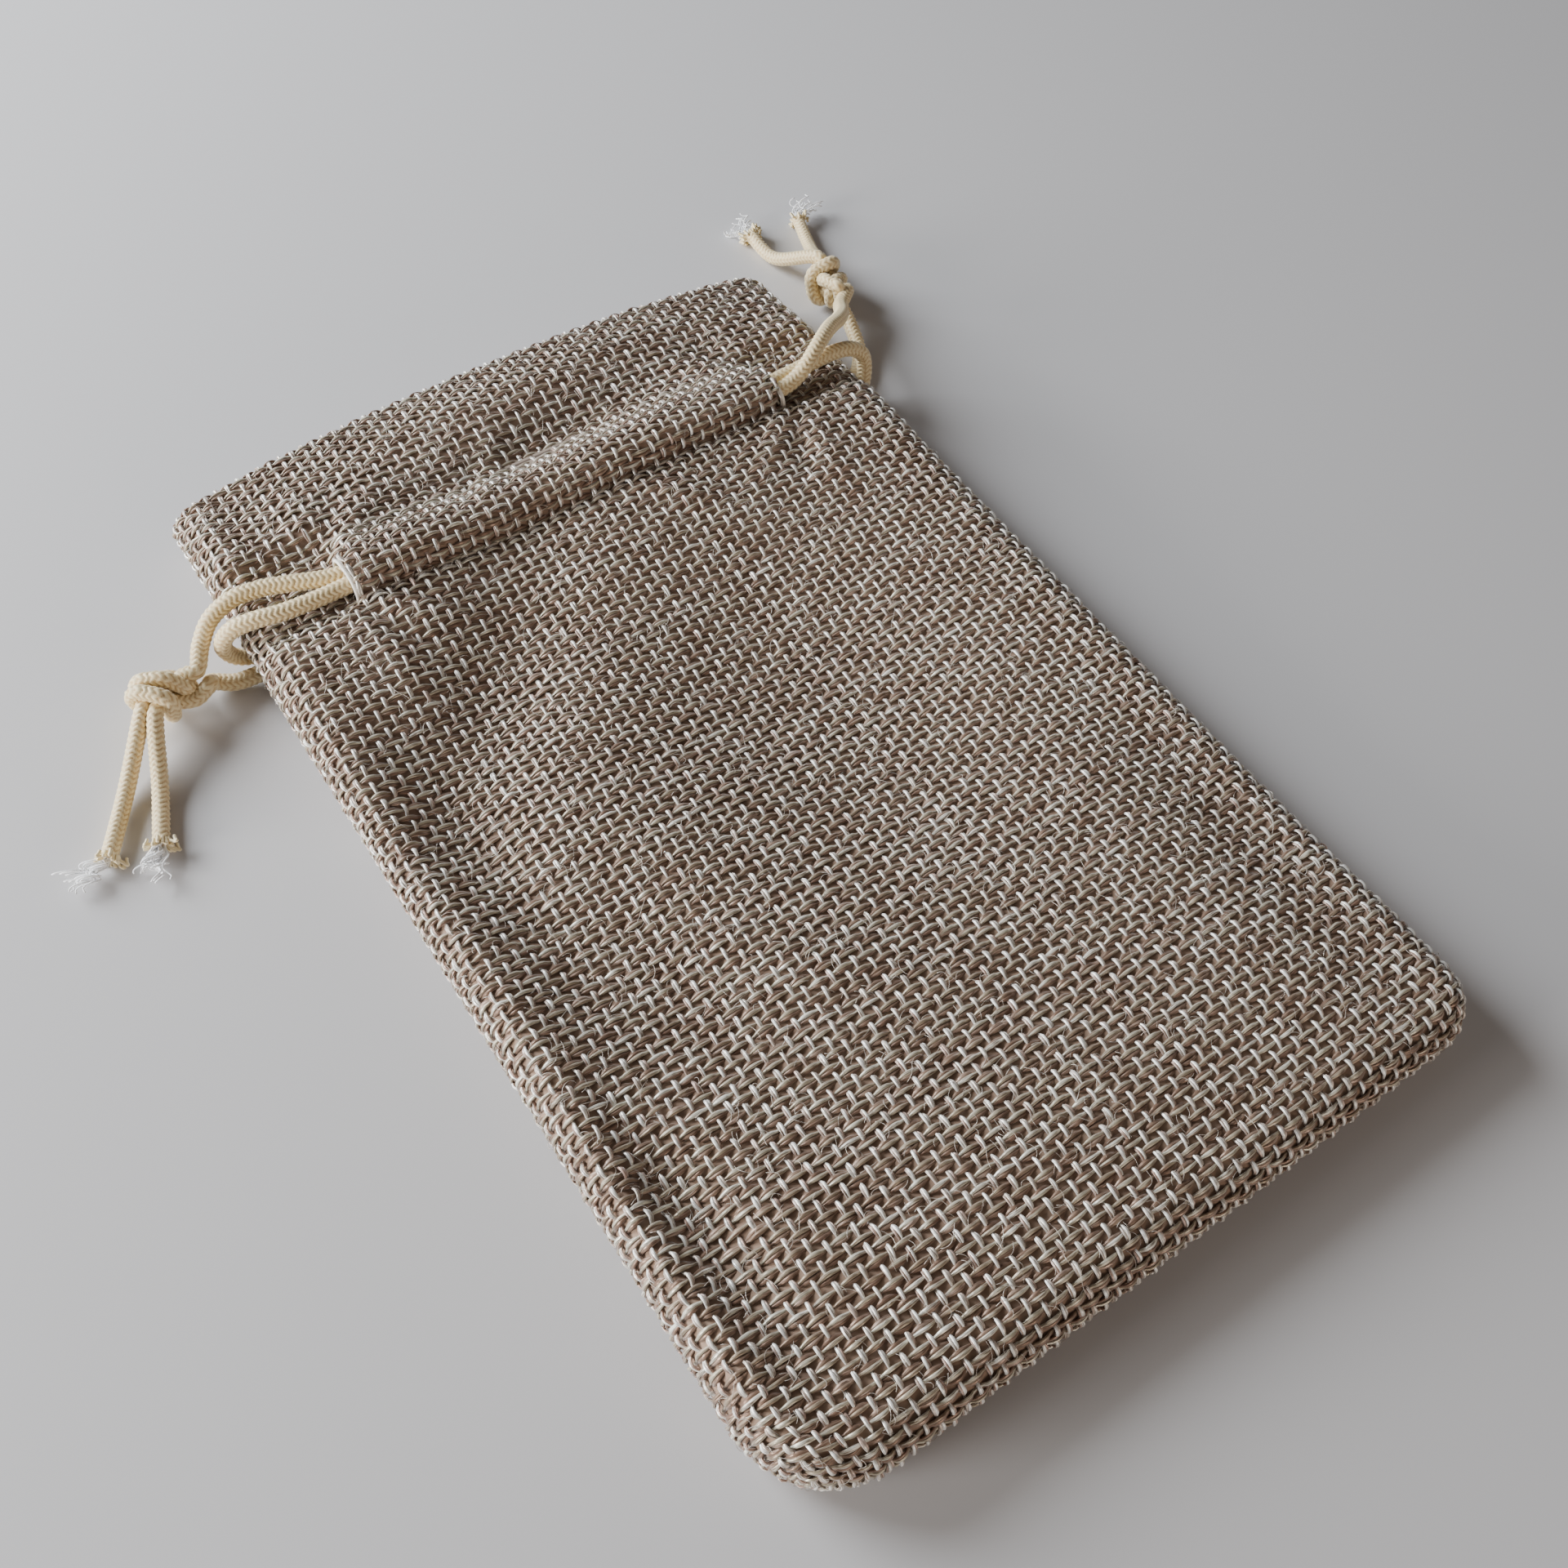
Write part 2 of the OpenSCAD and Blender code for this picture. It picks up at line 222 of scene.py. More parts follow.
def ring_mesh(name, rings, colours, fibre, material):
    """Closed tubes. rings is (tubes, rings, sides, 3) in mm, from one end of each tube to the other."""
    n, m, k, _ = rings.shape
    index = np.arange(n * m * k).reshape(n, m, k)
    following = np.roll(index, -1, axis=2)
    quads = np.stack([index[:, :-1], following[:, :-1], following[:, 1:], index[:, 1:]], -1)
    quads = quads.reshape(-1, 4)
    caps = np.concatenate([index[:, 0, ::-1], index[:, -1]])
    mesh = bpy.data.meshes.new(name)
    mesh.vertices.add(n * m * k)
    mesh.vertices.foreach_set("co", (rings * MM).astype(np.float32).ravel())
    mesh.loops.add(quads.size + caps.size)
    mesh.loops.foreach_set("vertex_index", np.concatenate([quads.ravel(), caps.ravel()]))
    mesh.polygons.add(len(quads) + len(caps))
    starts = np.concatenate(
        [np.arange(len(quads)) * 4, quads.size + np.arange(len(caps)) * k]
    )
    mesh.polygons.foreach_set("loop_start", starts)
    mesh.polygons.foreach_set("use_smooth", np.ones(len(starts), bool))
    mesh.update(calc_edges=True)
    melange = mesh.color_attributes.new("melange", "FLOAT_COLOR", "POINT")
    rgba = np.ones((n * m * k, 4), np.float32)
    rgba[:, : colours.shape[-1]] = np.broadcast_to(
        colours, (n, m, k, colours.shape[-1])
    ).reshape(n * m * k, -1)
    melange.data.foreach_set("color", rgba.ravel())
    place = mesh.attributes.new("fibre", "FLOAT_VECTOR", "POINT")
    place.data.foreach_set("vector", fibre.astype(np.float32).ravel())
    strip_map(mesh, n, m, k, len(caps))
    obj = bpy.data.objects.new(name, mesh)
    bpy.context.collection.objects.link(obj)
    mesh.materials.append(material)
    return obj


def strip_map(mesh, n, m, k, cap_n):
    """One strip of the map for each tube, in as many columns as keep the strips from being thin."""
    columns = max(1, int(round(math.sqrt(n / 40))))
    rows = math.ceil(n / columns)
    tube, ring, side = np.meshgrid(np.arange(n), np.arange(m - 1), np.arange(k), indexing="ij")
    corner_ring = np.stack([ring, ring, ring + 1, ring + 1], -1) / (m - 1)
    corner_side = np.stack([side, side + 1, side + 1, side], -1) / k
    along = (tube[..., None] // rows + 0.01 + 0.98 * corner_ring) / columns
    across = (tube[..., None] % rows + 0.06 + 0.88 * corner_side) / rows
    quads = np.stack([along, across], -1).reshape(-1, 2)
    half = cap_n // 2
    cap_tube = np.concatenate([np.arange(half)] * 2)
    cap_end = np.repeat([0.01, 0.99], half)
    caps = np.stack([(cap_tube // rows + cap_end) / columns, (cap_tube % rows + 0.5) / rows], -1)
    uv = mesh.uv_layers.new(name="OFBake")
    uv.data.foreach_set(
        "uv", np.concatenate([quads, np.repeat(caps, k, axis=0)]).astype(np.float32).ravel()
    )


def unit(v):
    return v / np.maximum(np.linalg.norm(v, axis=-1, keepdims=True), 1e-9)


def section_rings(centres, normals, width, thick, sides):
    """Flattened sections round each centre line, wide across the cloth and thin along its normal."""
    tangent = unit(np.gradient(centres, axis=1))
    across = unit(np.cross(tangent, normals))
    up = np.cross(across, tangent)
    turn = 2 * np.pi * np.arange(sides) / sides - np.pi / 2
    c = np.cos(turn)[None, None, :, None] * 0.5
    s = np.sin(turn)[None, None, :, None] * 0.5
    wide = np.broadcast_to(width, centres.shape[:2])[..., None, None]
    high = np.broadcast_to(thick, centres.shape[:2])[..., None, None]
    return centres[:, :, None] + c * wide * across[:, :, None] + s * high * up[:, :, None]


def fibre_places(rings, girth):
    """Place along the yarn and round it, in mm, with a shift for each yarn."""
    n, m, k, _ = rings.shape
    steps = np.linalg.norm(np.diff(rings.mean(2), axis=1), axis=-1)
    along = np.concatenate([np.zeros((n, 1)), np.cumsum(steps, 1)], 1)
    out = np.empty((n, m, k, 3))
    out[..., 0] = along[..., None]
    out[..., 1] = girth * np.arange(k) / k
    out[..., 2] = (np.arange(n) * 7.31)[:, None, None]
    return out


def wander(n, m, spacing, amount):
    """Smooth random values along n lines of m samples, with a new value every so many samples."""
    knots = rng.normal(0, amount, (n, int(m / spacing) + 3))
    at = np.arange(m) / spacing
    low = at.astype(int)
    t = at - low
    t = t * t * (3 - 2 * t)
    return knots[:, low] * (1 - t) + knots[:, low + 1] * t


# ---- The shape of the cloth ----------------------------------------------------------

# Distances between the lengthwise (warp) and the crosswise (weft) yarns
WARP_PITCH = 1.65
WEFT_PITCH = 1.31
# How far the sides roll over to the seams, front (1) and back (-1)
ROLL = {1: 4.5, -1: 3.2}
# Radius of the turned edge at the mouth, and depth of the hem
FOLD_R = 0.9
FACING_L = 17.0
# Radii of the left and right bottom corners
CORNER_R = (12.0, 7.0)
# Half of the slits' width, and the gap there in a crosswise yarn
SLIT_HALF = 2.8
SLIT_GAP = 0.35
# Half widths of the step down from the casing, at a slit and away from it
STEP_AT_SLIT = 0.1
STEP_AWAY = 3.0
# Where the shoulders beside the casing are pressed together
PINCH_START = CASING_Y - 5.6
PINCH_END = CASING_Y + 11.5
# How far the mouth bows out in the middle, and comes down at its corners and all along
MOUTH_BOW = 2.4
MOUTH_SAG = 0.42
MOUTH_DROP = 0.35
# The swellings begin here, near the bottom seam, and are whole after this length
SWELL_START = -80
SWELL_RUN = 20


def smooth(t):
    t = np.clip(t, 0, 1)
    return t * t * (3 - 2 * t)


def curve_table(points, step=0.05):
    """A smooth curve through (y, z) points as (length along it, y, z)."""
    pts = np.array(points, float)
    s = np.concatenate([[0], np.cumsum(np.linalg.norm(np.diff(pts, axis=0), axis=1))])
    slope = np.gradient(pts, s, axis=0)
    at = np.linspace(0, s[-1], int(s[-1] / step))
    i = np.clip(np.searchsorted(s, at) - 1, 0, len(s) - 2)
    h = (s[i + 1] - s[i])[:, None]
    t = ((at - s[i])[:, None]) / h
    fine = (
        (2 * t**3 - 3 * t**2 + 1) * pts[i]
        + (t**3 - 2 * t**2 + t) * h * slope[i]
        + (3 * t**2 - 2 * t**3) * pts[i + 1]
        + (t**3 - t**2) * h * slope[i + 1]
    )
    run = np.concatenate([[0], np.cumsum(np.linalg.norm(np.diff(fine, axis=0), axis=1))])
    return run, fine[:, 0], fine[:, 1]


def arc_length(side):
    drop = (FRONT_Z - SEAM_Z) if side > 0 else (SEAM_Z - BACK_Z)
    return math.pi / 2 * math.sqrt((ROLL[side] ** 2 + drop**2) / 2)


def inset(s, side):
    """How far in from the edge a point at s along the cloth from the seam lies, and its rise."""
    arc = arc_length(side)
    turn = np.clip(s / arc, 0, 1) * math.pi / 2
    return ROLL[side] * (1 - np.cos(turn)) + np.maximum(s - arc, 0), np.sin(turn)


# The cloth over the cords: distance from the casing's middle line, and rise
CREST = RIDGE_Z - FRONT_Z
RIDGE_OUTLINE = [
    (-6.0, 0), (-4.8, -0.1), (-4.0, -0.4), (-3.5, 0.0), (-3.0, 0.45 * CREST),
    (-2.2, 0.78 * CREST), (-1.0, 0.96 * CREST), (0.5, CREST), (2.0, 0.93 * CREST),
    (3.5, 0.72 * CREST), (5.0, 0.46 * CREST), (6.5, 0.25 * CREST),
]
RIDGE = curve_table([(CASING_Y + dy, z) for dy, z in RIDGE_OUTLINE] + [(HINGE_Y, 0.14 * CREST)])
RIDGE_START = CASING_Y + RIDGE_OUTLINE[0][0]
V_RIDGE = arc_length(1) + RIDGE_START - BOTTOM_Y - ROLL[1]
V_HINGE = V_RIDGE + RIDGE[0][-1]
V_MOUTH = V_HINGE + MOUTH_Y - YARN_RELIEF - FOLD_R - HINGE_Y
V_END = V_MOUTH + math.pi * FOLD_R + FACING_L


def half_arc(side):
    return HALF_W - ROLL[side] + arc_length(side)


def row_places(v, side):
    """Y of the cloth at v along it, over the casing and beside it, and the casing's rise."""
    start = BOTTOM_Y + inset(v, side)[0]
    if side < 0:
        start = start + (arc_length(1) - arc_length(-1) + ROLL[-1] - ROLL[1]) * smooth(v / 30)
    along = np.clip(v - V_RIDGE, 0, RIDGE[0][-1])
    past = np.maximum(v - V_HINGE, 0)
    before = v <= V_RIDGE
    over_y = np.where(before, start, np.interp(along, RIDGE[0], RIDGE[1]) + past)
    rise = np.where(before, 0, np.interp(along, RIDGE[0], RIDGE[2])) * (1 - smooth(past / 9))
    beside_y = np.where(
        before, start, RIDGE_START + along / RIDGE[0][-1] * (HINGE_Y - RIDGE_START) + past
    )
    return over_y, beside_y, rise


# Soft hollows and swellings of the front: x, y, half widths across and along, turn, height
FORMS = [
    (-5, 46, 60, 16, 0.0, 1.8),
    (-27, 25, 9, 26, -0.73, -3.2),
    (-30, -16, 9, 22, 0.1, -1.8),
    (8, 4, 27, 32, 0.3, -4.2),
    (0, -64, 60, 18, 0.0, 1.3),
    (-38.5, 4, 4.5, 22, 0.05, -2.0),
    (-41.5, -46, 4.0, 13, 0.1, -2.4),
    (42, -40, 8, 26, 0.0, -1.8),
    (-45.8, -42, 2.6, 34, 0.0, 1.3),
    (-45.8, 66, 2.6, 9, 0.0, 1.0),
    (0, 69.5, 30, 6, 0.0, 1.9),
    (-1, 58.5, 19, 4.5, 0.12, -1.9),
    (-32, 63, 9, 7, 0.0, 0.8),
    (30, 62, 12, 5, 0.0, -0.5),
    (-9, 57, 1.8, 7, -0.5, 0.6),
    (12, 40, 2.0, 8, 0.7, 0.6),
    (-12, -30, 3.0, 16, 0.9, 0.35),
]
# Gathers of the cloth that spread from both ends of the casing
for way in (-1, 1):
    FORMS += [
        (way * 28, 41.5, 1.5, 7, -way * 0.85, 0.5),
        (way * 31, 39, 1.5, 7, -way * 0.5, -0.6),
        (way * 34, 38, 1.5, 7, -way * 0.1, 0.4),
        (way * 27, 60, 1.6, 6, way * 0.75, 0.4),
        (way * 31, 61, 1.6, 6, way * 0.4, -0.5),
        (way * 35, 61, 1.6, 6, way * 0.1, 0.3),
    ]


def swell(x, y):
    total = np.zeros_like(x)
    for cx, cy, wide, long, turn, height in FORMS:
        dx, dy = x - cx, y - cy
        p = (dx * math.cos(turn) + dy * math.sin(turn)) / wide
        q = (-dx * math.sin(turn) + dy * math.cos(turn)) / long
        total += height * np.exp(-(p * p + q * q))
    return total


def panel(u, v, side):
    """The cloth at u across and v along it, in mm, before it turns in at the mouth."""
    over_y, beside_y, rise = row_places(v, side)
    side_d, side_f = inset(half_arc(side) - np.abs(u), side)
    across = HALF_W - side_d
    at_slit = smooth((SLIT_HALF + 1.3 - np.abs(over_y - CASING_Y)) / 1.5)
    step = STEP_AWAY + (STEP_AT_SLIT - STEP_AWAY) * at_slit
    beside = smooth((across - SLIT_X + step) / (2 * step))
    y = over_y * (1 - beside) + beside_y * beside if side > 0 else beside_y
    f = side_f * inset(v, side)[1]
    corner = np.where(u < 0, *CORNER_R)
    p = np.clip((across - HALF_W + corner) / corner, 0, 1)
    q = np.clip((BOTTOM_Y + corner - y) / corner, 0, 1)
    x = np.where(q > 0, across - corner * p * (1 - np.sqrt(1 - q * q / 2)), across) * np.sign(u)
    y = np.where(p > 0, y + corner * q * (1 - np.sqrt(1 - p * p / 2)), y)
    y = y + MOUTH_BOW * (1 - (x / HALF_W) ** 2) * smooth((y - HINGE_Y) / (MOUTH_Y - HINGE_Y))
    pinch = smooth((y - PINCH_START) / 2.4) * smooth((PINCH_END - y) / 4.5)
    if side > 0:
        heading = smooth((y - HINGE_Y) / (MOUTH_Y - HINGE_Y))
        sag = 1 - MOUTH_SAG * heading * (across / HALF_W) ** 4
        top = FRONT_Z + swell(x, y) * smooth((y - SWELL_START) / SWELL_RUN) - MOUTH_DROP * heading
        top = (top - SEAM_Z) * sag + SEAM_Z + rise * (1 - beside)
        level = top + (SHOULDER_Z - top) * pinch * beside
    else:
        level = BACK_Z + (BACK_SHOULDER_Z - BACK_Z) * pinch * beside
    return np.stack([x, y, SEAM_Z + f * (level - SEAM_Z)], -1)


def facing_out(shape, u, v, side):
    """The cloth's normal, away from the inside of the pouch."""
    e = 0.15
    du = shape(u + e, v, side) - shape(u - e, v, side)
    dv = shape(u, v + e, side) - shape(u, v - e, side)
    return unit(np.cross(du, dv)) * side


def cloth(u, v, side):
    """The cloth at u across and v along it, turned in at the mouth."""
    u, v = np.broadcast_arrays(np.asarray(u, float), np.asarray(v, float))
    flat = np.minimum(v, V_MOUTH)
    place = panel(u, flat, side)
    if not np.any(v > V_MOUTH):
        return place
    inward = -facing_out(panel, u, flat - 0.2, side)
    turn = np.clip((v - V_MOUTH) / FOLD_R, 0, math.pi)
    rest = np.maximum(v - V_MOUTH - math.pi * FOLD_R, 0)
    place = place + inward * (FOLD_R * (1 - np.cos(turn)))[..., None]
    place[..., 1] += FOLD_R * np.sin(turn) - rest
    return place


# ---- Yarns -------------------------------------------------------------------------

# Palettes of the strands, from their dark to their bright fibres
WARP_COLOURS = np.array([
    (0.46, 0.31, 0.25), (0.64, 0.48, 0.41), (0.70, 0.63, 0.55), (0.84, 0.81, 0.74),
    (0.97, 0.95, 0.90),
])
WEFT_COLOURS = np.array([
    (0.24, 0.16, 0.11), (0.39, 0.31, 0.22), (0.52, 0.46, 0.345), (0.67, 0.63, 0.50),
    (0.94, 0.92, 0.81),
])
DARK_COLOURS = np.array([
    (0.19, 0.112, 0.078), (0.30, 0.195, 0.14), (0.42, 0.295, 0.225), (0.60, 0.455, 0.37),
])
YARN_SIDES = 6
# Rings of a yarn between two crossings, front and back
STEPS = {1: 4, -1: 3}


def melange(n, m, palette, spacing, lean, share):
    """Colours of a strand, which change along it, and how much of it is bright."""
    mix = wander(n, m, spacing, 0.27) + rng.normal(0, 0.08, (n, 1)) + lean
    at = np.clip(mix, 0, 0.999) * (len(palette) - 1)
    low = at.astype(int)
    t = (at - low)[..., None]
    colours = np.empty((n, m, YARN_SIDES, 4))
    colours[..., :3] = (palette[low] * (1 - t) + palette[low + 1] * t)[:, :, None]
    colours[..., 3] = np.clip(share + wander(n, m, 0.7 * spacing, 0.15), 0, 1)[..., None]
    return colours


def weave_wave(u, v):
    """How the weave moves in and out: +1 where a lengthwise yarn lies on top, -1 where it lies below."""
    wave = np.cos(math.pi * u / WARP_PITCH) * np.cos(math.pi * v / WEFT_PITCH)
    return np.tanh(1.5 * wave) / math.tanh(1.5)


def plied(name, centres, out, top, cross, strands):
    """Yarns of a few strands side by side, which turn round each other now and then and spread on top.
    Each strand is (away from the middle, lift, width, thickness, palette, lean, share)."""
    n, m, _ = centres.shape
    across = unit(np.cross(unit(np.gradient(centres, axis=1)), out))
    turn = wander(n, m, 2.2 * cross, 0.55) + rng.choice([0.35, math.pi - 0.35], (n, 1), p=[0.7, 0.3])
    rings, colours = [], []
    for away, lift, width, thick, palette, lean, share in strands:
        up = lift + 0.4 * abs(away) * np.sin(turn) + wander(n, m, 1.3 * cross, 0.02)
        beside = away * np.cos(turn) * (0.45 + 0.65 * top) + wander(n, m, 1.3 * cross, 0.03)
        shift = across * beside[..., None] + out * up[..., None]
        wide = (width + wander(n, m, 1.7 * cross, 0.04)) * (0.72 + 0.4 * top)
        rings.append(section_rings(centres + shift, out, wide, thick, YARN_SIDES))
        colours.append(melange(n, m, palette, 1.7 * cross, lean, share))
    rings = np.concatenate(rings)
    return ring_mesh(name, rings, np.concatenate(colours), fibre_places(rings, 1.6), YARN)


def warp_piece(name, side, v0, v1):
    """Lengthwise yarns from v0 to v1."""
    cross = STEPS[side]
    last = int((half_arc(side) - 0.6) / WARP_PITCH)
    line = np.arange(-last, last + 1) * WARP_PITCH
    n, m = len(line), int(round((v1 - v0) / WEFT_PITCH * cross)) + 1
    v = np.linspace(v0, v1, m)[None, :].repeat(n, 0)
    u = line[:, None] + wander(n, m, 3 * cross, 0.08)
    centres = cloth(u, v, side)
    out = facing_out(cloth, u, v, side)
    rise = 0.27 + wander(n, m, 2 * cross, 0.04)
    centres = centres + out * (rise * weave_wave(line[:, None], v) + 0.04)[..., None]
    top = 0.5 + 0.5 * np.cos(math.pi * line[:, None] / WARP_PITCH) * np.cos(math.pi * v / WEFT_PITCH)
    strands = [
        (-0.10, 0.03, 0.40, 0.34, WARP_COLOURS, 0.92, 1.0),
        (0.18, -0.04, 0.32, 0.30, WARP_COLOURS, 0.30, 0.70),
    ]
    return plied(name, centres, out, top, cross, strands)


def weft_piece(name, side, rows, u0, u1):
    """Crosswise yarns in these rows, from u0 to u1."""
    cross = STEPS[side]
    rows = np.asarray(rows, float) * WEFT_PITCH
    n, m = len(rows), int(round((u1 - u0) / WARP_PITCH * cross)) + 1
    u = np.linspace(u0, u1, m)[None, :].repeat(n, 0)
    v = rows[:, None] + wander(n, m, 3 * cross, 0.06)
    centres = cloth(u, v, side)
    out = facing_out(cloth, u, v, side)
    rise = 0.20 + wander(n, m, 2 * cross, 0.04)
    centres = centres - out * (rise * weave_wave(u, rows[:, None]))[..., None]
    top = 0.5 - 0.5 * np.cos(math.pi * u / WARP_PITCH) * np.cos(math.pi * rows[:, None] / WEFT_PITCH)
    strands = [
        (-0.12, 0.03, 0.48, 0.32, WEFT_COLOURS, 0.54, 0.78),
        (0.34, -0.11, 0.60, 0.28, DARK_COLOURS, 0.42, 0.55),
    ]
    return plied(name, centres, out, top, cross, strands)


def fuzz_piece(name, side, v0, v1, count):
    """Fine loose fibres that stand up from the cloth."""
    m = 8
    t = np.linspace(0, 1, m)[None, :]
    edge = half_arc(side) - 1
    turn = rng.normal(0, 0.6, (count, 1)) + rng.choice([0, math.pi / 2], (count, 1))
    turn = turn + rng.normal(0, 0.9, (count, 1)) * t
    reach = rng.uniform(0.9, 2.6, (count, 1))
    u = np.clip(rng.uniform(-edge, edge, (count, 1)) + reach * t * np.cos(turn), -edge, edge)
    v = np.clip(rng.uniform(v0, v1, (count, 1)) + reach * t * np.sin(turn), v0, v1)
    lift = 0.28 + rng.uniform(0.05, 0.4, (count, 1)) * np.sin(math.pi * np.clip(t * 1.2, 0, 1))
    out = facing_out(cloth, u, v, side)
    rings = section_rings(cloth(u, v, side) + out * lift[..., None], out, 0.055, 0.055, 3)
    colours = np.ones((count, m, 3, 4))
    colours[..., :3] = (0.4 + 0.4 * rng.random((count, 1, 1, 1))) * np.array([1.0, 0.9, 0.78])
    return ring_mesh(name, rings, colours, fibre_places(rings, 0.2), YARN)


def join(name, pieces):
    bpy.ops.object.select_all(action="DESELECT")
    for piece in pieces:
        piece.select_set(True)
    bpy.context.view_layer.objects.active = pieces[0]
    bpy.ops.object.join()
    pieces[0].name = name
    return pieces[0]


def ground_piece(name, side, v0, v1):
    """The thin ground of the cloth under its yarns, with the slits left open."""
    edge = half_arc(side)
    cut = 0.3
    last = int(SLIT_X / WARP_PITCH - 0.5)
    inner = np.arange(-last, last + 1) * WARP_PITCH
    outer = np.arange(SLIT_X + cut, edge, WARP_PITCH * 0.8)
    us = np.concatenate([-edge, -outer[::-1], -SLIT_X, inner, SLIT_X, outer, edge], axis=None)
    us = np.unique(us[np.abs(us) <= edge])
    vs = np.linspace(v0, v1, int((v1 - v0) / 0.6) + 2)
    u, v = np.meshgrid(us, vs)
    place = cloth(u, v, side) - facing_out(cloth, u, v, side) * 0.2
    over_y = row_places((vs[:-1] + vs[1:]) / 2, side)[0]
    slit_row = np.abs(over_y - CASING_Y) < SLIT_HALF
    mid = np.abs(us[:-1] + us[1:]) / 2
    slit_col = np.abs(mid - SLIT_X - cut / 2) < cut / 2
    index = np.arange(u.size).reshape(u.shape)
    quads = np.stack([index[:-1, :-1], index[:-1, 1:], index[1:, 1:], index[1:, :-1]], -1)
    keep = ~(slit_row[:, None] & slit_col[None, :])
    mesh = bpy.data.meshes.new(name)
    mesh.from_pydata((place.reshape(-1, 3) * MM).tolist(), [], quads[keep].tolist())
    mesh.polygons.foreach_set("use_smooth", np.ones(len(mesh.polygons), bool))
    mesh.materials.append(GROUND)
    obj = bpy.data.objects.new(name, mesh)
    bpy.context.collection.objects.link(obj)
    return obj


def cloth_side(label, side):
    """One side of the pouch: its ground and yarns below the mouth's crease, and above it."""
    edge = half_arc(side)
    rows = np.arange(1, int(V_END / WEFT_PITCH) + 1)
    v = rows * WEFT_PITCH
    over_y = row_places(v, side)[0]
    slit = (np.abs(over_y - CASING_Y) < SLIT_HALF) & (v < V_HINGE)
    body = rows[(v < V_HINGE) & ~slit]
    head = rows[(v >= V_HINGE) & (v < V_END - 0.3)]
    cut = rows[slit]
    wefts = [
        weft_piece("weft", side, body, -edge, edge),
        weft_piece("weft", side, cut, -SLIT_X, SLIT_X),
        weft_piece("weft", side, cut, -edge, -SLIT_X - SLIT_GAP),
        weft_piece("weft", side, cut, SLIT_X + SLIT_GAP, edge),
    ]
    return {
        "body": [
            ground_piece(label + "_ground", side, 0, V_HINGE),
            warp_piece(label + "_warp", side, 0, V_HINGE),
            join(label + "_weft", wefts),
            fuzz_piece(label + "_fuzz", side, 1, V_HINGE - 0.5, 2600),
        ],
        "head": [
            ground_piece(label + "_heading_ground", side, V_HINGE, V_END),
            warp_piece(label + "_heading_warp", side, V_HINGE, V_END),
            weft_piece(label + "_heading_weft", side, head, -edge, edge),
            fuzz_piece(label + "_heading_fuzz", side, V_HINGE + 0.5, V_MOUTH, 500),
        ],
    }


# ---- Cords -------------------------------------------------------------------------


def smooth_path(points, step):
    """Points a step apart on a smooth curve through the given ones."""
    pts = np.array(points, float)
    pts = np.concatenate([[2 * pts[0] - pts[1]], pts, [2 * pts[-1] - pts[-2]]])
    gaps = np.sqrt(np.linalg.norm(np.diff(pts, axis=0), axis=1))
    t = np.concatenate([[0], np.cumsum(gaps)])
    out = []
    for i in range(1, len(pts) - 2):
        n = max(2, int(np.linalg.norm(pts[i + 1] - pts[i]) / step * 2))
        at = np.linspace(t[i], t[i + 1], n, endpoint=False)[:, None]
        a = [
            ((t[j + 1] - at) * pts[j] + (at - t[j]) * pts[j + 1]) / (t[j + 1] - t[j])
            for j in (i - 1, i, i + 1)
        ]
        b = [
            ((t[j + 2] - at) * a[j - i + 1] + (at - t[j]) * a[j - i + 2]) / (t[j + 2] - t[j])
            for j in (i - 1, i)
        ]
        out.append(((t[i + 1] - at) * b[0] + (at - t[i]) * b[1]) / (t[i + 1] - t[i]))
    fine = np.concatenate(out + [pts[-2:-1]])
    return spaced(fine, int(path_length(fine) / step) + 1)


def path_length(points):
    return float(np.linalg.norm(np.diff(points, axis=0), axis=1).sum())


def spaced(points, n):
    s = np.concatenate([[0], np.cumsum(np.linalg.norm(np.diff(points, axis=0), axis=1))])
    at = np.linspace(0, s[-1], n)
    return np.stack([np.interp(at, s, points[:, i]) for i in range(3)], 1)


